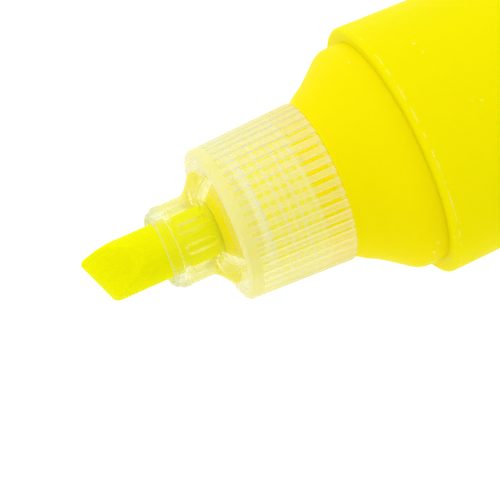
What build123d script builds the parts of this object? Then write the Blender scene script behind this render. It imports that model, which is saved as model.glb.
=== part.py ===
from build123d import *
import math
import os

# Retractable highlighter, in millimetres. X runs along the pen from its flat rear face (0)
# towards the nib. The barrel is oval and lies on its flat side, so its half width is along Y
# and its half height along Z. Round parts are given as (x, radius) outlines and turned about X.

# ---- Driving dimensions -----------------------------------------------------------------

# Stations along the pen
knob_rear = 0.6
knob_front = 11.7
cover_rear = 12.0
barrel_rear = 13.5
barrel_front = 95.2
neck_base = 102.1
neck_front = 109.25
collar_front = 112.0
nib_tip = collar_front + 12.45

# Barrel ovals: half width and half height at the rear and at the front
outside_rear = (10.4, 8.1)
outside_front = (12.32, 10.02)
bore_rear = (9.15, 6.85)
bore_front = (10.5, 8.2)
barrel_rim_radius = 0.45
seat_gap = 0.03

# Screw thread between the neck and the collar: right-hand, one start
thread_pitch = 1.5
thread_depth = 0.45
thread_root_width = 0.8
thread_crest_width = 0.4
neck_core_radius = 5.65
neck_root_radius = 6.05
collar_bore_radius = 6.2

# Collar
collar_rear_radius = 7.45
collar_front_radius = 7.02
collar_rear = neck_base + 0.1
collar_hole_radius = 5.3
collar_face_rise = 0.42
rib_count = 45
rib_gap = 0.5
rib_depth = 0.28

# Nose tube and nib
nib_radius = 2.5
rib_bore_radius = 2.62
lip_bore_radius = 2.95
nose_tube_radius = 3.72
channel_count = 10
channel_width = 0.8
facing_angle = 65.3
bevel_angle = 21.5
nib_turn = facing_angle + 6.0

# Twist mechanism: half a turn of the knob carries the nib this far
nib_travel = 8.0
cam_lead = 2 * nib_travel
pin_rest = 33.0
pin_radius = 0.8
slot_clearance = 0.08
cam_outer_radius = 6.1
cam_inner_radius = 5.4
stem_bore_radius = 4.4
running_gap = 0.1
guide_wall = 0.55

# Cartridge
cartridge_rear = 46.0
cartridge_front = 97.0
cartridge_radius = 6.1
cartridge_bore = 5.5
film_thickness = 0.1
snout_radius = 4.4
neck_bore_radius = 4.6


# ---- Shape helpers ----------------------------------------------------------------------


def turned(outline, mode=Mode.ADD):
    """Turns a closed (x, radius) outline about the pen's axis, in the part being built."""
    with BuildSketch(Plane.XZ) as section:
        with BuildLine():
            Polyline(*outline, close=True)
        make_face()
    revolve(section.sketch, axis=Axis.X, mode=mode)


def turned_rounded(corners, mode=Mode.ADD):
    """Like turned, with a corner radius as the third value of each point."""
    with BuildSketch(Plane.XZ) as section:
        with BuildLine():
            FilletPolyline(*[c[:2] for c in corners], radius=[c[2] for c in corners], close=True)
        make_face()
    revolve(section.sketch, axis=Axis.X, mode=mode)


def ring(x, centre_radius, section_radius):
    """An O-ring about the pen's axis, in the part being built."""
    with BuildSketch(Plane.XZ) as section:
        with Locations((x, centre_radius)):
            Circle(section_radius)
    revolve(section.sketch, axis=Axis.X)


def oval_loft(stations, ruled=False, mode=Mode.ADD):
    """Lofts ovals given as (x, half width, half height), in the part being built."""
    ovals = []
    for x, half_width, half_height in stations:
        with BuildSketch(Plane.YZ.offset(x)) as section:
            Ellipse(half_width, half_height)
        ovals.append(section.sketch)
    loft(ovals, ruled=ruled, mode=mode)


def oval_at(x, rear, front):
    """Station of the barrel's outside or bore at x."""
    share = (x - barrel_rear) / (barrel_front - barrel_rear)
    return (x, rear[0] + share * (front[0] - rear[0]), rear[1] + share * (front[1] - rear[1]))


def plug(x_start, x_end, fit_at, mode=Mode.ADD):
    """A straight oval plate that fits the barrel's bore at fit_at."""
    half_width, half_height = oval_at(fit_at, bore_rear, bore_front)[1:]
    size = (half_width - seat_gap, half_height - seat_gap)
    oval_loft([(x_start, *size), (x_end, *size)], ruled=True, mode=mode)


def side_plane(angle):
    """Plane through the pen's axis whose Y points outwards at the given angle about +X."""
    turn = math.radians(angle)
    return Plane(origin=(0, 0, 0), x_dir=(1, 0, 0), z_dir=(0, -math.sin(turn), math.cos(turn)))


def turns(count, start=0.0):
    """Evenly spaced rotations about the pen's axis."""
    return [Location((0, 0, 0), (1, 0, 0), start + 360 * i / count) for i in range(count)]


def fin(outline, width):
    """A flat fin with an (x, radius) side outline, standing out along +Y, as a loose tool."""
    with BuildSketch(side_plane(0)) as side:
        with BuildLine():
            Polyline(*outline, close=True)
        make_face()
    return extrude(side.sketch, amount=width / 2, both=True, mode=Mode.PRIVATE)


def helical_bar(x_start, travel, lead, inner, outer, inner_width, outer_width, left_hand=False):
    """A loose bar that winds about +X from above the axis, with its widths measured along X."""
    with BuildLine() as path:
        Helix(lead, travel, inner, center=(x_start, 0, 0), direction=(1, 0, 0), lefthand=left_hand)
    with BuildSketch(side_plane(90)) as section:
        with BuildLine():
            Polyline(
                (x_start - inner_width / 2, inner),
                (x_start - outer_width / 2, outer),
                (x_start + outer_width / 2, outer),
                (x_start + inner_width / 2, inner),
                close=True,
            )
        make_face()
    return sweep(section.sketch, path=path.line, is_frenet=True, mode=Mode.PRIVATE)


# ---- Barrel assembly: stays still -------------------------------------------------------

with BuildPart() as barrel:
    oval_loft(
        [
            oval_at(barrel_rear, outside_rear, outside_front),
            oval_at(barrel_front, outside_rear, outside_front),
        ],
        ruled=True,
    )
    fillet(barrel.faces().sort_by(Axis.X)[-1].edges(), radius=barrel_rim_radius)
    oval_loft(
        [oval_at(barrel_rear, bore_rear, bore_front), oval_at(barrel_front, bore_rear, bore_front)],
        ruled=True,
        mode=Mode.SUBTRACT,
    )

# The bell grows from the round neck to an oval rim; each station is a distance back from the
# neck and its share of the growth.
bell_growth = [
    (0, 0),
    (1.03, 0.154),
    (1.8, 0.287),
    (2.56, 0.437),
    (3.33, 0.615),
    (4.09, 0.8),
    (4.86, 0.955),
    (5.25, 0.99),
    (5.6, 1.0),
    (neck_base - barrel_front, 1.0),
]
bell_base_radius = 7.31
bell_rim = (10.93, 8.92)
cavity = (9.1, 6.8)
with BuildPart() as shoulder:
    oval_loft(
        [
            (
                neck_base - back,
                bell_base_radius + growth * (bell_rim[0] - bell_base_radius),
                bell_base_radius + growth * (bell_rim[1] - bell_base_radius),
            )
            for back, growth in bell_growth
        ]
    )
    plug(barrel_front - 8.0, barrel_front, fit_at=barrel_front - 8.0)
    turned(
        [
            (neck_base - 0.5, 0),
            (neck_base - 0.5, neck_root_radius),
            (collar_front - 8.0, neck_root_radius),
            (collar_front - 8.0, neck_core_radius),
            (neck_front - 0.2, neck_core_radius),
            (neck_front, neck_core_radius - 0.2),
            (neck_front, 0),
        ]
    )
    add(
        helical_bar(
            x_start=collar_front - 7.8,
            travel=2.9 * thread_pitch,
            lead=thread_pitch,
            inner=neck_core_radius - 0.05,
            outer=neck_core_radius + thread_depth,
            inner_width=thread_root_width,
            outer_width=thread_crest_width,
        )
    )
    oval_loft(
        [
            (barrel_front - 8.0, *cavity),
            (barrel_front + 0.4, *cavity),
            (neck_base - 2.5, 6.7, 6.4),
            (neck_base + 0.5, neck_bore_radius, neck_bore_radius),
        ],
        ruled=True,
        mode=Mode.SUBTRACT,
    )
    turned(
        [
            (neck_base, 0),
            (neck_base, neck_bore_radius),
            (neck_front, neck_bore_radius),
            (neck_front, 0),
        ],
        mode=Mode.SUBTRACT,
    )

gasket_thickness = 0.6
with BuildPart() as nose_gasket:
    turned(
        [
            (neck_front, 4.75),
            (neck_front, neck_core_radius - 0.05),
            (neck_front + gasket_thickness, neck_core_radius - 0.05),
            (neck_front + gasket_thickness, 4.75),
        ]
    )

knob_bore_radius = cam_outer_radius + running_gap
cover_front = 18.0
with BuildPart() as rear_cover:
    outline = oval_at(barrel_rear, outside_rear, outside_front)[1:]
    oval_loft([(cover_rear, *outline), (barrel_rear, *outline)], ruled=True)
    fillet(rear_cover.faces().sort_by(Axis.X)[0].edges(), radius=1.0)
    plug(barrel_rear, cover_front, fit_at=barrel_rear)
    turned(
        [
            (cover_rear, 0),
            (cover_rear, knob_bore_radius),
            (cover_front, knob_bore_radius),
            (cover_front, 0),
        ],
        mode=Mode.SUBTRACT,
    )

guide_rear = 19.2
guide_front = 54.0
guide_bore_radius = cam_outer_radius + running_gap
slot_width = 2 * (pin_radius + slot_clearance)
with BuildPart() as guide_sleeve:
    turned(
        [
            (guide_rear, 0),
            (guide_rear, guide_bore_radius + guide_wall),
            (guide_front, guide_bore_radius + guide_wall),
            (guide_front, 0),
        ]
    )
    plug(guide_rear, guide_rear + 1.5, fit_at=guide_rear)
    plug(guide_front - 4.0, guide_front, fit_at=guide_front - 4.0)
    turned(
        [
            (guide_rear, 0),
            (guide_rear, guide_bore_radius),
            (guide_front, guide_bore_radius),
            (guide_front, 0),
        ],
        mode=Mode.SUBTRACT,
    )
    with BuildSketch(Plane.XY) as straight_slot:
        with Locations((pin_rest - nib_travel / 2, 0)):
            SlotCenterToCenter(nib_travel + 0.2, slot_width)
    extrude(straight_slot.sketch, amount=cartridge_radius + 1.0, both=True, mode=Mode.SUBTRACT)

# ---- Knob: turns half a turn ------------------------------------------------------------

seal_groove = (14.9, 16.1, 5.1)
clip_groove = (18.1, 18.95, 5.5)
cam_rear = 2.0
cam_front = 36.5
cam_step = 22.0
with BuildPart() as cam_sleeve:
    turned(
        [
            (cam_rear, stem_bore_radius),
            (cam_rear, cam_outer_radius),
            (seal_groove[0], cam_outer_radius),
            (seal_groove[0], seal_groove[2]),
            (seal_groove[1], seal_groove[2]),
            (seal_groove[1], cam_outer_radius),
            (clip_groove[0], cam_outer_radius),
            (clip_groove[0], clip_groove[2]),
            (clip_groove[1], clip_groove[2]),
            (clip_groove[1], cam_outer_radius),
            (cam_front, cam_outer_radius),
            (cam_front, cam_inner_radius),
            (cam_step, cam_inner_radius),
            (cam_step, stem_bore_radius),
        ]
    )
    lead_angle = math.atan(cam_lead / (2 * math.pi * cam_outer_radius))
    helical_slot = helical_bar(
        x_start=pin_rest - nib_travel,
        travel=nib_travel,
        lead=cam_lead,
        inner=cam_inner_radius - 0.2,
        outer=cam_outer_radius + 0.2,
        inner_width=slot_width / math.cos(lead_angle),
        outer_width=slot_width / math.cos(lead_angle),
        left_hand=True,
    )
    with Locations(*turns(2)):
        add(helical_slot, mode=Mode.SUBTRACT)
    with BuildSketch(Plane.XY) as slot_ends:
        with Locations((pin_rest, 0), (pin_rest - nib_travel, 0)):
            Circle(slot_width / 2 + 0.02)
    extrude(slot_ends.sketch, amount=cartridge_radius + 1.0, both=True, mode=Mode.SUBTRACT)

knob_radius = 7.8
with BuildPart() as twist_knob:
    turned_rounded(
        [
            (cam_rear, cam_outer_radius, 0),
            (cam_rear, 6.9, 0),
            (knob_rear, 6.9, 0.1),
            (knob_rear, knob_radius - 0.15, 0.6),
            (knob_front, knob_radius, 0.5),
            (knob_front, cam_outer_radius, 0),
        ]
    )
    knob_groove = fin(
        [
            (knob_rear + 1.2, knob_radius + 0.1),
            (knob_rear + 1.6, knob_radius - 0.4),
            (knob_front - 1.5, knob_radius - rib_depth),
            (knob_front - 1.1, knob_radius + 0.1),
        ],
        rib_gap,
    )
    with Locations(*turns(rib_count)):
        add(knob_groove, mode=Mode.SUBTRACT)

with BuildPart() as knob_end_cap:
    turned_rounded(
        [
            (0, 0, 0),
            (0, 6.85, 0.5),
            (cam_rear, 6.85, 0),
            (cam_rear, stem_bore_radius, 0),
            (6.0, stem_bore_radius, 0),
            (6.0, stem_bore_radius - 1.0, 0),
            (2.8, stem_bore_radius - 1.0, 0),
            (2.8, 0, 0),
        ]
    )

with BuildPart() as knob_friction_ring:
    ring((seal_groove[0] + seal_groove[1]) / 2, seal_groove[2] + 0.52, 0.5)

with BuildPart() as knob_retaining_ring:
    turned(
        [
            (clip_groove[0] + 0.05, clip_groove[2]),
            (clip_groove[0] + 0.05, 6.7),
            (clip_groove[1] - 0.05, 6.7),
            (clip_groove[1] - 0.05, clip_groove[2]),
        ]
    )
    add(fin([(18.0, 4.0), (18.0, 8.0), (19.0, 8.0), (19.0, 4.0)], 5.0), mode=Mode.SUBTRACT)

# ---- Nib and cartridge: slide together --------------------------------------------------

nib_rear = 91.0
bevel_start = collar_front + 7.6
bevel_drop = math.tan(math.radians(bevel_angle)) * (nib_tip - bevel_start)
long_corner = 1.85
short_corner_x = collar_front + 10.72
with BuildPart() as nib:
    turned([(nib_rear, 0), (nib_rear, nib_radius), (nib_tip, nib_radius), (nib_tip, 0)])
    with BuildSketch(side_plane(nib_turn)) as thickness:
        with BuildLine():
            FilletPolyline(
                (nib_rear, nib_radius),
                (bevel_start, nib_radius),
                (nib_tip, nib_radius - bevel_drop),
                (nib_tip, bevel_drop - nib_radius),
                (bevel_start, -nib_radius),
                (nib_rear, -nib_radius),
                radius=[0, 2.0, 0.25, 0.25, 2.0, 0],
                close=True,
            )
        make_face()
    extrude(thickness.sketch, amount=nib_radius + 1, both=True, mode=Mode.INTERSECT)
    with BuildSketch(side_plane(nib_turn + 90)) as breadth:
        with BuildLine():
            FilletPolyline(
                (nib_rear, -nib_radius),
                (nib_rear, nib_radius),
                (nib_tip - 3.0, nib_radius),
                (nib_tip, long_corner),
                (short_corner_x, -nib_radius),
                radius=[0, 0, 2.5, 0.3, 0.8],
                close=True,
            )
        make_face()
    extrude(breadth.sketch, amount=nib_radius + 1, both=True, mode=Mode.INTERSECT)

holder_groove = (103.4, 104.5, 3.74)
with BuildPart() as nib_holder:
    turned(
        [
            (94.5, nib_radius),
            (94.5, cartridge_bore),
            (cartridge_front, cartridge_bore),
            (cartridge_front, cartridge_radius),
            (99.0, cartridge_radius),
            (99.6, 5.4),
            (100.4, snout_radius),
            (holder_groove[0], snout_radius),
            (holder_groove[0], holder_groove[2]),
            (holder_groove[1], holder_groove[2]),
            (holder_groove[1], snout_radius),
            (collar_front - 0.7, snout_radius),
            (collar_front + 0.55, 2.87),
            (collar_front + 0.55, nib_radius),
        ]
    )

with BuildPart() as holder_seal:
    ring((holder_groove[0] + holder_groove[1]) / 2, holder_groove[2] + 0.41, 0.4)

with BuildPart() as cartridge_tube:
    turned(
        [
            (cartridge_rear, cartridge_bore),
            (cartridge_rear, cartridge_radius),
            (cartridge_front, cartridge_radius),
            (cartridge_front, cartridge_bore),
        ]
    )

reservoir_rear = 49.6
reservoir_front = 94.4
reservoir_radius = cartridge_bore - film_thickness
with BuildPart() as ink_reservoir:
    turned(
        [
            (reservoir_rear, 0),
            (reservoir_rear, reservoir_radius),
            (reservoir_front, reservoir_radius),
            (reservoir_front, nib_radius),
            (nib_rear, nib_radius),
            (nib_rear, 0),
        ]
    )

with BuildPart() as reservoir_wrap:
    turned(
        [
            (reservoir_rear, reservoir_radius),
            (reservoir_rear, cartridge_bore),
            (reservoir_front, cartridge_bore),
            (reservoir_front, reservoir_radius),
        ]
    )

stem_radius = 3.0
stem_front = 47.5
with BuildPart() as cartridge_plug:
    turned(
        [
            (cartridge_rear - 1.0, stem_radius),
            (cartridge_rear - 1.0, cartridge_radius),
            (cartridge_rear, cartridge_radius),
            (cartridge_rear, cartridge_bore),
            (reservoir_rear, cartridge_bore),
            (reservoir_rear, 0),
            (stem_front, 0),
            (stem_front, stem_radius),
        ]
    )

crosshead_length = 5.0
crosshead_radius = cam_inner_radius - running_gap
with BuildPart() as follower_carrier:
    turned(
        [
            (pin_rest - crosshead_length / 2, 0),
            (pin_rest - crosshead_length / 2, crosshead_radius),
            (pin_rest + crosshead_length / 2, crosshead_radius),
            (pin_rest + crosshead_length / 2, stem_radius),
            (stem_front, stem_radius),
            (stem_front, 0),
        ]
    )
    with BuildSketch(Plane.XY) as cross_hole:
        with Locations((pin_rest, 0)):
            Circle(pin_radius)
    extrude(cross_hole.sketch, amount=cartridge_radius, both=True, mode=Mode.SUBTRACT)

pin_half_length = guide_bore_radius + guide_wall - 0.1
with BuildPart() as cross_pin:
    with BuildSketch(Plane.XY.offset(-pin_half_length)):
        with Locations((pin_rest, 0)):
            Circle(pin_radius)
    extrude(amount=2 * pin_half_length)
    chamfer(cross_pin.edges().filter_by(GeomType.CIRCLE), length=0.15)

# ---- Nose tube: lifts off with the collar -----------------------------------------------

nose_rear = neck_front + gasket_thickness + 0.03
channel_front = collar_front + 4.0
channel_rear = collar_front + 1.1
with BuildPart() as nose_tube:
    turned_rounded(
        [
            (nose_rear, 4.7, 0),
            (nose_rear, 5.7, 0),
            (collar_front - 0.4, 5.7, 0),
            (collar_front - 0.4, collar_hole_radius - 0.1, 0),
            (collar_front + 0.65, collar_hole_radius - 0.1, 0.15),
            (collar_front + 1.03, 4.7, 0),
            (collar_front + 1.4, 4.23, 0),
            (collar_front + 1.78, 3.88, 0),
            (collar_front + 2.1, nose_tube_radius, 0),
            (collar_front + 4.15, nose_tube_radius, 0),
            (collar_front + 4.3, nose_tube_radius + 0.06, 0),
            (collar_front + 4.88, nose_tube_radius + 0.06, 0.2),
            (collar_front + 5.18, 3.52, 0.1),
            (collar_front + 5.52, 3.42, 0.2),
            (collar_front + 5.68, 3.2, 0.1),
            (collar_front + 5.68, lip_bore_radius, 0.1),
            (collar_front + 4.6, lip_bore_radius, 0),
            (collar_front + 4.4, rib_bore_radius, 0),
            (collar_front + 1.0, rib_bore_radius, 0),
            (collar_front - 0.7, 4.7, 0),
        ]
    )
    with BuildSketch(Plane.XY) as channel:
        with Locations(((channel_rear + channel_front) / 2, 0)):
            SlotOverall(channel_front - channel_rear, channel_width)
    channel_tool = extrude(channel.sketch, amount=nose_tube_radius - 0.3, mode=Mode.PRIVATE)
    with Locations(*turns(channel_count, start=facing_angle - 90 + 180 / channel_count)):
        add(channel_tool, mode=Mode.SUBTRACT)
    vent = fin(
        [
            (collar_front + 0.2, 5.6),
            (collar_front + 0.2, 4.95),
            (collar_front + 0.8, 4.95),
            (collar_front + 1.5, 4.18),
            (collar_front + 1.9, 4.5),
        ],
        0.57,
    )
    with Locations(*turns(2, start=facing_angle)):
        add(vent, mode=Mode.SUBTRACT)

# ---- Screw collar: turns on the neck's thread -------------------------------------------

with BuildPart() as screw_collar:
    turned_rounded(
        [
            (collar_rear, 6.6, 0),
            (collar_rear, collar_rear_radius, 0.12),
            (collar_front, collar_front_radius, 0.3),
            (collar_front + collar_face_rise, 5.5, 0.1),
            (collar_front + collar_face_rise, collar_hole_radius, 0.05),
            (collar_front - 0.3, collar_hole_radius, 0),
            (collar_front - 0.3, collar_bore_radius, 0),
            (collar_rear + 0.4, collar_bore_radius, 0),
        ]
    )
    slope = (collar_rear_radius - collar_front_radius) / (collar_front - collar_rear)
    rib_front = collar_front - 0.85
    groove = fin(
        [
            (collar_rear - 0.1, collar_rear_radius + 0.3),
            (collar_rear - 0.1, collar_rear_radius - rib_depth),
            (rib_front - 0.25, collar_front_radius + slope * 1.1 - rib_depth),
            (rib_front, collar_front_radius + 0.3),
        ],
        rib_gap,
    )
    with Locations(*turns(rib_count)):
        add(groove, mode=Mode.SUBTRACT)
    add(
        helical_bar(
            x_start=collar_front - 7.05,
            travel=2.4 * thread_pitch,
            lead=thread_pitch,
            inner=collar_bore_radius - thread_depth,
            outer=collar_bore_radius + 0.05,
            inner_width=thread_crest_width,
            outer_width=thread_root_width,
        )
    )

# ---- Labels and files -------------------------------------------------------------------

pieces = {
    "barrel": barrel,
    "shoulder": shoulder,
    "nose_gasket": nose_gasket,
    "rear_cover": rear_cover,
    "guide_sleeve": guide_sleeve,
    "cam_sleeve": cam_sleeve,
    "twist_knob": twist_knob,
    "knob_end_cap": knob_end_cap,
    "knob_friction_ring": knob_friction_ring,
    "knob_retaining_ring": knob_retaining_ring,
    "nib": nib,
    "nib_holder": nib_holder,
    "holder_seal": holder_seal,
    "cartridge_tube": cartridge_tube,
    "ink_reservoir": ink_reservoir,
    "reservoir_wrap": reservoir_wrap,
    "cartridge_plug": cartridge_plug,
    "follower_carrier": follower_carrier,
    "cross_pin": cross_pin,
    "nose_tube": nose_tube,
    "screw_collar": screw_collar,
}
os.makedirs("parts", exist_ok=True)
for name, piece in pieces.items():
    piece.part.label = name
    export_step(piece.part, f"parts/{name}.step")
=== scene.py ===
import math

import bpy
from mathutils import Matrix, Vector


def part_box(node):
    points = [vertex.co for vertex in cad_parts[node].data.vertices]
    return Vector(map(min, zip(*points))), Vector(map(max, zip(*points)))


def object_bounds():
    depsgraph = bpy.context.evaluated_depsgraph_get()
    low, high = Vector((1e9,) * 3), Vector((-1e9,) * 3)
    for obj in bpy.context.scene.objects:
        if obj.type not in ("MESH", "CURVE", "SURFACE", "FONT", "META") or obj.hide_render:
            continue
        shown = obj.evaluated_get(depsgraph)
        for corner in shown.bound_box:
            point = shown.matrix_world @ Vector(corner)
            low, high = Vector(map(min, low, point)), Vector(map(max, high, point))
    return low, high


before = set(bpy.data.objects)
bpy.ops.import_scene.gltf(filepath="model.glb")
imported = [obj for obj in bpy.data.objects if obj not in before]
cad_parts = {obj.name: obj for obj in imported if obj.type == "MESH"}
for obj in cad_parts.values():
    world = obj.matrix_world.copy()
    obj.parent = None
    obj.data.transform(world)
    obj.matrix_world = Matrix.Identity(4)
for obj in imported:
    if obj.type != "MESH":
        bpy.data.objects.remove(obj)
cad_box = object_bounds()

MM = 0.001
COLLAR_RIBS = 45
COLLAR_LIP = 0.42 * MM
COLLAR_BORE = 6.2 * MM
KNOB_BORE = 6.1 * MM
THREAD_PITCH = 1.5 * MM
WHITE = (1.0, 1.0, 1.0, 1.0)
# Colour of the painted highlight along the barrel rim's crest.
RIM_HIGHLIGHT_YELLOW = (0.97, 0.94, 0.5, 1)
SPECK_YELLOW = (0.96, 0.93, 0.4, 1)
SHADED_YELLOW = (0.95, 0.80, 0.0, 1)
LIT_YELLOW = (0.94, 0.875, 0.0, 1)
DUST = (0.6, 0.6, 0.55, 1)

# Places read from the frame
collar_low, collar_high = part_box("screw_collar")
collar_front = collar_high.x - COLLAR_LIP
knob_low, knob_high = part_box("twist_knob")
barrel_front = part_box("barrel")[1].x
floor_height = cad_box[0].z

# ---- Node helpers -----------------------------------------------------------------------


def new_material(name):
    """An empty node material with its output, ready for add_node."""
    material = bpy.data.materials.new(name)
    material.use_nodes = True
    tree = material.node_tree
    tree.nodes.clear()
    output = tree.nodes.new("ShaderNodeOutputMaterial")
    return material, tree, output


def feed(tree, socket, value):
    """Links the socket from a value that is a socket, and sets it to any other value."""
    if isinstance(value, bpy.types.NodeSocket):
        tree.links.new(value, socket)
    else:
        socket.default_value = value


def add_node(tree, kind, **values):
    """Adds a node and feeds its inputs: Base_Color is the input Base Color, and _1 input 1."""
    made = tree.nodes.new("ShaderNode" + kind)
    for key, value in values.items():
        name = key.replace("_", " ")
        socket = made.inputs[name] if name in made.inputs else made.inputs[int(key[1:])]
        feed(tree, socket, value)
    return made


def math_node(tree, operation, *values):
    """A Math node over sockets or numbers; returns its result."""
    made = tree.nodes.new("ShaderNodeMath")
    made.operation = operation
    for socket, value in zip(made.inputs, values):
        feed(tree, socket, value)
    return made.outputs[0]


def mix_colors(tree, share, first, second):
    """Blends two colours by share, from first at 0 to second at 1; returns the colour."""
    made = tree.nodes.new("ShaderNodeMix")
    made.data_type = "RGBA"
    for place, value in ((0, share), (6, first), (7, second)):
        feed(tree, made.inputs[place], value)
    return made.outputs[2]


def ramp(tree, value, low, high, out_low=0.0, out_high=1.0):
    """Maps low..high to out_low..out_high, clamped; returns the result."""
    made = tree.nodes.new("ShaderNodeMapRange")
    made.interpolation_type = "SMOOTHSTEP"
    tree.links.new(value, made.inputs[0])
    for socket, number in zip(list(made.inputs)[1:5], (low, high, out_low, out_high)):
        socket.default_value = number
    return made.outputs[0]


def noise(tree, place, scale, detail=3.0, roughness=0.5):
    """Noise in the piece's own coordinates; scale is in features per metre."""
    made = add_node(tree, "TexNoise", Vector=place, Scale=scale, Detail=detail, Roughness=roughness)
    return made.outputs["Fac"]


def stretched(tree, place, share):
    """The place with its x shrunk to a share, so that marks on it run lengthwise."""
    return add_node(tree, "Mapping", Vector=place, Scale=(share, 1.0, 1.0)).outputs[0]


def own_place(tree):
    """The point in the piece's own frame, in metres."""
    return tree.nodes.new("ShaderNodeTexCoord").outputs["Object"]


def bump(tree, height, distance, strength):
    """A bump of the given depth in metres; returns the normal."""
    made = add_node(tree, "Bump", Height=height, Strength=strength, Distance=distance)
    return made.outputs["Normal"]


def split_place(tree, place):
    """The point's x along the pen, y across it and z up, in metres."""
    return add_node(tree, "SeparateXYZ", Vector=place).outputs


def axis_radius(tree, place):
    """Distance of a point from the pen's axis, in metres."""
    across, upward = split_place(tree, place)[1:3]
    squares = [math_node(tree, "MULTIPLY", part, part) for part in (across, upward)]
    return math_node(tree, "SQRT", math_node(tree, "ADD", *squares))


def axis_angle(tree, place):
    """Angle of a point about the pen's axis, in radians."""
    across, upward = split_place(tree, place)[1:3]
    return math_node(tree, "ARCTAN2", upward, across)


def along_axis(tree, place):
    """Place of a point along the pen, in metres."""
    return split_place(tree, place)[0]


def rib_wave(tree, place, ribs):
    """-1 on the crests of evenly spaced lengthwise ribs, 0 on their flanks and 1 between them."""
    turned = math_node(tree, "MULTIPLY", axis_angle(tree, place), float(ribs))
    return math_node(tree, "COSINE", turned)


def thread_wave(tree, place, start, pitch):
    """1 on the thread's helix through start above the axis, and -1 midway between its turns."""
    turned = math_node(tree, "SUBTRACT", axis_angle(tree, place), math.pi / 2)
    shift = math_node(tree, "SUBTRACT", along_axis(tree, place), start)
    phase = math_node(tree, "MULTIPLY", shift, 2 * math.pi / pitch)
    return math_node(tree, "COSINE", math_node(tree, "SUBTRACT", phase, turned))


def within(tree, value, low, high, soft):
    """1 between low and high, fading to 0 over soft each side."""
    rise = ramp(tree, value, low - soft, low + soft)
    return math_node(tree, "MULTIPLY", rise, ramp(tree, value, high + soft, high - soft))


def scatter(shader, weight, radius, scale):
    """Sets a Principled shader's subsurface: its share, its reach by colour and its depth."""
    shader.inputs["Subsurface Weight"].default_value = weight
    shader.inputs["Subsurface Radius"].default_value = radius
    shader.inputs["Subsurface Scale"].default_value = scale


def assign(material, *nodes):
    """Gives the material to whole CAD nodes."""
    for name in nodes:
        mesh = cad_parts[name].data
        mesh.materials.clear()
        mesh.materials.append(material)


# ---- Materials --------------------------------------------------------------------------


def moulded_yellow(name, light, dark, highlight_at=None):
    """Opaque fluorescent polypropylene: faint clouding, specks, hairline scuffs, orange peel.

    The last argument is the place along the pen of an edge whose crest gets a pale painted highlight.
    """
    material, tree, output = new_material(name)
    place = own_place(tree)
    clouds = noise(tree, place, 55.0, detail=4.0)
    body = mix_colors(tree, ramp(tree, clouds, 0.35, 0.7, 0.0, 0.6), light, dark)
    specks = add_node(tree, "TexVoronoi", Vector=place, Scale=900.0).outputs["Distance"]
    rare = noise(tree, place, 260.0, detail=1.0)
    speck_mask = math_node(tree, "MULTIPLY", ramp(tree, specks, 0.13, 0.07), ramp(tree, rare, 0.6, 0.66))
    body = mix_colors(tree, math_node(tree, "MULTIPLY", speck_mask, 0.6), body, SPECK_YELLOW)
    if highlight_at is not None:
        # Painted highlight: a pale, broken line along the crest of the rounded edge.
        half = 0.03 * MM
        crest = within(tree, along_axis(tree, place), highlight_at - half, highlight_at + half, 0.05 * MM)
        highlight_breakup = ramp(tree, noise(tree, place, 1100.0), 0.5, 0.62, 0.0, 0.45)
        rim_highlight = math_node(tree, "MULTIPLY", crest, highlight_breakup)
        body = mix_colors(tree, rim_highlight, body, RIM_HIGHLIGHT_YELLOW)
    scuffs = noise(tree, stretched(tree, place, 0.08), 1900.0, detail=2.0)
    peel = noise(tree, place, 900.0, detail=2.0)
    height = math_node(tree, "ADD", math_node(tree, "MULTIPLY", scuffs, 0.5), peel)
    shader = add_node(
        tree,
        "BsdfPrincipled",
        Base_Color=body,
        Roughness=ramp(tree, scuffs, 0.3, 0.7, 0.36, 0.5),
        Normal=bump(tree, height, 0.02 * MM, 0.35),
    )
    shader.inputs["IOR"].default_value = 1.07
    scatter(shader, 0.25, (1.0, 0.7, 0.05), 1.5 * MM)
    tree.links.new(shader.outputs[0], output.inputs["Surface"])
    return material


def thicken_edges(tree, cover, normal, low, high, most):
    """Raises the milky share where the wall is looked at along its length, as a thick wall shows."""
    facing = add_node(tree, "LayerWeight", Blend=0.5, Normal=normal).outputs["Facing"]
    edge = ramp(tree, facing, low, high, 0.0, most)
    clear_part = math_node(tree, "SUBTRACT", 1.0, cover)
    return math_node(tree, "ADD", cover, math_node(tree, "MULTIPLY", clear_part, edge))


def milky_shell(tree, milk, cover, tint, haze, normal, glow):
    """Milky plastic over a see-through one: cover is the share that scatters; returns the shader."""
    through = add_node(tree, "BsdfTransparent", Color=tint)
    front = add_node(tree, "BsdfDiffuse", Color=milk, Normal=normal)
    back = add_node(tree, "BsdfTranslucent", Color=milk, Normal=normal)
    solid = add_node(tree, "MixShader", Fac=glow, _1=front.outputs[0], _2=back.outputs[0])
    body = add_node(tree, "MixShader", Fac=cover, _1=through.outputs[0], _2=solid.outputs[0])
    gloss = add_node(tree, "BsdfGlossy", Roughness=haze, Normal=normal, Color=WHITE)
    fresnel = add_node(tree, "Fresnel", IOR=1.15, Normal=normal)
    shine = math_node(tree, "MULTIPLY", fresnel.outputs[0], 0.6)
    return add_node(tree, "MixShader", Fac=shine, _1=body.outputs[0], _2=gloss.outputs[0]).outputs[0]


def layered(tree, *shares):
    """The share covered by several thin layers that each cover their own share."""
    left = 1.0
    for share in shares:
        left = math_node(tree, "MULTIPLY", left, math_node(tree, "SUBTRACT", 1.0, share))
    return math_node(tree, "SUBTRACT", 1.0, left)


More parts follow.
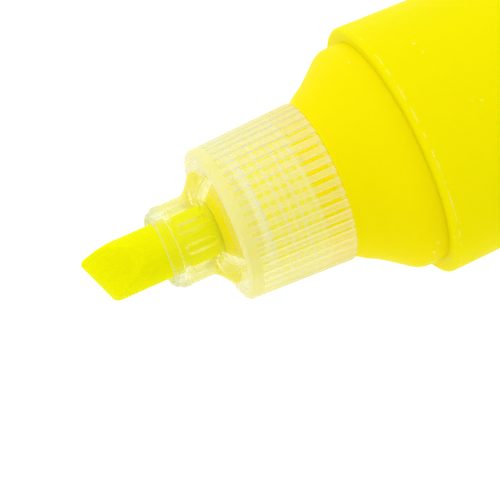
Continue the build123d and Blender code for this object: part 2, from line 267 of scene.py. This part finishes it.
def ribbed_milky(name, pale, bore, band, depths, rings=(), thread=None, lit_from=0.0):
    """Translucent moulding whose lengthwise ribs look pale and whose valleys show the yellow within.

    The paleness goes by place on the piece. bore is the inside radius and band the ribbed length.
    depths lists (start, end, share) steps of extra paleness along the axis, and rings lists
    (middle, share) of pale bands about it. thread is the inside thread's start, pitch, first and
    last place. The yellow is lighter ahead of lit_from, and the pale turns yellower to the pen's
    +Y side as painted yellow bounce light.
    """
    material, tree, output = new_material(name)
    place = own_place(tree)
    along = along_axis(tree, place)
    normal = bump(tree, noise(tree, place, 1500.0, detail=2.0), 0.01 * MM, 0.3)
    ribbed = within(tree, along, *band, 0.1 * MM)
    ribs = rib_wave(tree, place, COLLAR_RIBS)
    smooth = math_node(tree, "SUBTRACT", 1.0, ribbed)
    crest = math_node(tree, "MAXIMUM", ramp(tree, ribs, 0.1, -0.1), smooth)
    flank = math_node(tree, "MULTIPLY", within(tree, ribs, -0.3, 0.1, 0.1), ribbed)
    layers = [math_node(tree, "MULTIPLY", crest, 0.37), math_node(tree, "MULTIPLY", flank, 0.85)]
    layers += [ramp(tree, along, start, end, 0.0, share) for start, end, share in depths]
    half_ring = 0.12 * MM
    for middle, share in rings:
        near = within(tree, along, middle - half_ring, middle + half_ring, 0.14 * MM)
        layers.append(math_node(tree, "MULTIPLY", near, share))
    if thread is not None:
        start, pitch, first, last = thread
        helix = thread_wave(tree, place, start, pitch)
        ridges = ramp(tree, helix, 0.6, 0.95, 0.0, 0.58)
        roots = ramp(tree, helix, -0.72, -0.97, 0.0, 0.4)
        turns = math_node(tree, "ADD", ridges, roots)
        threaded = within(tree, along, first, last, 0.2 * MM)
        layers.append(math_node(tree, "MULTIPLY", turns, threaded))
    streaks = noise(tree, stretched(tree, place, 0.15), 1300.0)
    uneven = ramp(tree, streaks, 0.3, 0.7, 0.9, 1.08)
    share = math_node(tree, "MULTIPLY", layered(tree, *layers), uneven)
    is_outer = ramp(tree, axis_radius(tree, place), bore + 0.15 * MM, bore + 0.25 * MM)
    side = split_place(tree, place)[1]
    lit = ramp(tree, along, lit_from, lit_from + 1 * MM)
    deep = mix_colors(tree, lit, SHADED_YELLOW, LIT_YELLOW)
    # Painted yellow bounce light: the pale turns yellower towards the pen's +Y side.
    pale_with_painted_bounce = mix_colors(tree, ramp(tree, side, 0.0, 8 * MM, 0.0, 0.25), pale, deep)
    milk = mix_colors(tree, share, deep, pale_with_painted_bounce)
    cover = math_node(tree, "ADD", 0.05, math_node(tree, "MULTIPLY", is_outer, 0.67))
    tint = (0.99, 0.985, 0.93, 1)
    surface = milky_shell(tree, milk, cover, tint, 0.3, normal, glow=0.15)
    tree.links.new(surface, output.inputs["Surface"])
    return material


def clear_plastic(name, tint, bands, cover=0.02, edge=0.6, thick=(0.35, 0.95)):
    """Thin clear moulded plastic, milky where its wall is seen edge on, with soft flow marks.

    bands gives the milk's first colour, then where it ends and the next one is reached. thick is
    the range of slant over which the wall turns milky, up to the edge share.
    """
    material, tree, output = new_material(name)
    place = own_place(tree)
    milk = bands[0]
    for start, end, color in bands[1:]:
        milk = mix_colors(tree, ramp(tree, along_axis(tree, place), start, end), milk, color)
    flow = noise(tree, stretched(tree, place, 0.3), 900.0)
    normal = bump(tree, flow, 0.02 * MM, 0.4)
    haze = ramp(tree, flow, 0.4, 0.75, cover * 0.5, cover * 2.0)
    share = thicken_edges(tree, haze, normal, *thick, edge)
    surface = milky_shell(tree, milk, share, tint, 0.12, normal, glow=0.2)
    tree.links.new(surface, output.inputs["Surface"])
    return material


def felt(name, color, dark):
    """Bonded fibre: fine lengthwise strands with a fuzzy, matt, ink-soaked surface."""
    material, tree, output = new_material(name)
    place = own_place(tree)
    strands = noise(tree, stretched(tree, place, 0.12), 5200.0)
    grain = noise(tree, place, 9000.0, detail=2.0)
    soak = noise(tree, place, 420.0, detail=3.0)
    half_strands = math_node(tree, "MULTIPLY", strands, 0.5)
    half_soak = math_node(tree, "MULTIPLY", soak, 0.5)
    shade = math_node(tree, "ADD", half_strands, half_soak)
    height = math_node(tree, "ADD", strands, grain)
    shader = add_node(
        tree,
        "BsdfPrincipled",
        Base_Color=mix_colors(tree, ramp(tree, shade, 0.35, 0.7), color, dark),
        Normal=bump(tree, height, 0.05 * MM, 0.5),
    )
    shader.inputs["Roughness"].default_value = 0.8
    shader.inputs["IOR"].default_value = 1.1
    scatter(shader, 0.6, (1.0, 0.95, 0.05), 2.0 * MM)
    shader.inputs["Sheen Weight"].default_value = 0.1
    shader.inputs["Sheen Tint"].default_value = (0.9, 0.95, 0.0, 1)
    tree.links.new(shader.outputs[0], output.inputs["Surface"])
    return material


def plain_moulding(name, color, gloss=0.4, metal=0.0):
    """A small inner part: moulded or drawn, with fine surface texture."""
    material, tree, output = new_material(name)
    place = own_place(tree)
    fine = noise(tree, place, 1500.0, detail=3.0)
    tint = mix_colors(tree, ramp(tree, fine, 0.3, 0.7, 0.0, 0.15), color, DUST)
    shader = add_node(
        tree,
        "BsdfPrincipled",
        Base_Color=tint,
        Roughness=ramp(tree, fine, 0.3, 0.7, gloss - 0.05, gloss + 0.08),
        Normal=bump(tree, fine, 0.01 * MM, 0.3),
    )
    shader.inputs["Metallic"].default_value = metal
    tree.links.new(shader.outputs[0], output.inputs["Surface"])
    return material


yellow = moulded_yellow(
    "yellow_shell", (0.905, 0.812, 0.0, 1), (0.885, 0.788, 0.0, 1), highlight_at=barrel_front - 0.45 * MM
)
bell_yellow = moulded_yellow("bell_yellow", (0.925, 0.795, 0.0, 1), (0.905, 0.775, 0.0, 1))
pale = (0.86, 0.86, 0.68, 1)
collar_clear = ribbed_milky(
    "collar_clear", pale, bore=COLLAR_BORE,
    band=(collar_low.x - 1 * MM, collar_front - 0.95 * MM),
    depths=[
        (collar_front - 9.2 * MM, collar_front - 9.6 * MM, 0.15),
        (collar_front - 7.8 * MM, collar_front - 7.0 * MM, 0.13),
        (collar_front - 2.9 * MM, collar_front - 2.2 * MM, 0.2),
        (collar_front - 0.9 * MM, collar_front - 0.3 * MM, 0.12),
        (collar_front, collar_front + 0.2 * MM, 0.7),
    ],
    rings=[(collar_front - 2.48 * MM, 0.9)],
    thread=(
        collar_front - 7.0 * MM, THREAD_PITCH, collar_front - 7.25 * MM, collar_front - 3.0 * MM
    ),
    lit_from=collar_front - 7.9 * MM,
)
knob_clear = ribbed_milky(
    "knob_clear", pale, bore=KNOB_BORE,
    band=(knob_low.x + 1.3 * MM, knob_high.x - 1.2 * MM),
    depths=[(knob_low.x + 1.3 * MM, knob_low.x, 0.5), (knob_high.x - 1.0 * MM, knob_high.x, 0.3)],
)
ink_stain = (0.88, 0.82, 0.04, 1)
nose_clear = clear_plastic(
    "nose_clear", (0.985, 0.98, 0.86, 1),
    [
        ink_stain,
        (collar_front + 1.7 * MM, collar_front + 2.6 * MM, (0.90, 0.88, 0.33, 1)),
        (collar_front + 4.1 * MM, collar_front + 5.2 * MM, (0.76, 0.775, 0.50, 1)),
    ],
    cover=0.01, edge=0.8, thick=(0.2, 0.75),
)
film_clear = clear_plastic("film_clear", (0.98, 0.99, 0.96, 1), [(0.9, 0.9, 0.85, 1)], edge=0.3)
nib_felt = felt("nib_felt", (0.855, 0.85, 0.0, 1), (0.82, 0.81, 0.0, 1))
fibre = felt("reservoir_fibre", (0.85, 0.85, 0.02, 1), (0.75, 0.74, 0.02, 1))
white_moulding = plain_moulding("white_moulding", (0.85, 0.85, 0.8, 1))
acetal = plain_moulding("acetal", (0.7, 0.72, 0.72, 1), gloss=0.35)
silicone = plain_moulding("silicone", (0.86, 0.85, 0.62, 1), gloss=0.55)
steel = plain_moulding("steel", (0.6, 0.6, 0.6, 1), gloss=0.25, metal=1.0)

assign(yellow, "barrel", "rear_cover", "knob_end_cap")
assign(bell_yellow, "shoulder", "nib_holder")
assign(collar_clear, "screw_collar")
assign(nose_clear, "nose_tube")
assign(knob_clear, "twist_knob")
assign(film_clear, "reservoir_wrap")
assign(nib_felt, "nib")
assign(fibre, "ink_reservoir")
assign(white_moulding, "cartridge_tube", "cartridge_plug")
assign(acetal, "guide_sleeve", "cam_sleeve", "follower_carrier")
assign(silicone, "nose_gasket", "knob_friction_ring", "holder_seal")
assign(steel, "knob_retaining_ring", "cross_pin")

# ---- Stage ------------------------------------------------------------------------------


def make_floor():
    """A wide, pale, softly glowing floor under the pen."""
    half = 1.5
    corners = [(-half, -half), (half, -half), (half, half), (-half, half)]
    mesh = bpy.data.meshes.new("floor")
    mesh.from_pydata([(x, y, floor_height) for x, y in corners], [], [(0, 1, 2, 3)])
    floor = bpy.data.objects.new("floor", mesh)
    bpy.context.scene.collection.objects.link(floor)
    material, tree, output = new_material("floor_paper")
    glow = add_node(tree, "Emission", Color=WHITE, Strength=1.0)
    paper = add_node(tree, "BsdfDiffuse", Color=(0.1, 0.1, 0.1, 1))
    both = add_node(tree, "AddShader", _0=glow.outputs[0], _1=paper.outputs[0])
    tree.links.new(both.outputs[0], output.inputs["Surface"])
    mesh.materials.append(material)


def area_light(name, place, aim, size, power):
    """A square softbox at place, facing aim."""
    lamp = bpy.data.lights.new(name, "AREA")
    lamp.shape = "SQUARE"
    lamp.size = size
    lamp.energy = power
    box = bpy.data.objects.new(name, lamp)
    box.location = place
    box.rotation_euler = (Vector(aim) - Vector(place)).to_track_quat("-Z", "Y").to_euler()
    bpy.context.scene.collection.objects.link(box)


# The camera looks down at the nib end from ahead and to the side, close up.
azimuth = math.radians(153.55)
elevation = math.radians(63.0)
level = math.cos(elevation)
toward_camera = Vector(
    (math.sin(azimuth) * level, -math.cos(azimuth) * level, math.sin(elevation))
)
right = Vector((math.cos(azimuth), math.sin(azimuth), 0.0))
up = toward_camera.cross(right)
view_width = 43.5 * MM
view_distance = 0.2
aim = Vector((collar_front, 0.0, 0.0)) + 2.73 * MM * right - 2.11 * MM * up


def make_camera():
    """The photograph's camera, at a distance of view_distance from aim."""
    data = bpy.data.cameras.new("camera")
    data.sensor_width = 36.0
    data.lens = data.sensor_width * view_distance / view_width
    data.clip_start = 0.01
    data.clip_end = 10.0
    camera = bpy.data.objects.new("camera", data)
    camera.location = aim + view_distance * toward_camera
    camera.rotation_euler = (-toward_camera).to_track_quat("-Z", "Y").to_euler()
    bpy.context.scene.collection.objects.link(camera)
    bpy.context.scene.camera = camera


def make_world(strength):
    """An even white studio all round."""
    world = bpy.data.worlds.new("studio")
    world.use_nodes = True
    background = world.node_tree.nodes["Background"]
    background.inputs["Color"].default_value = WHITE
    background.inputs["Strength"].default_value = strength
    bpy.context.scene.world = world


# Light passes the translucent pieces, so they throw no shadow on what they cover.
for name in ("screw_collar", "nose_tube", "twist_knob", "reservoir_wrap"):
    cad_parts[name].visible_shadow = False
    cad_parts[name].visible_diffuse = False

make_floor()
make_camera()
make_world(0.86)
key_place = aim + 0.35 * toward_camera - 0.2 * right + 0.45 * up
area_light("key", key_place, aim, 0.35, 0.8)
bpy.context.scene.view_settings.view_transform = "Standard"
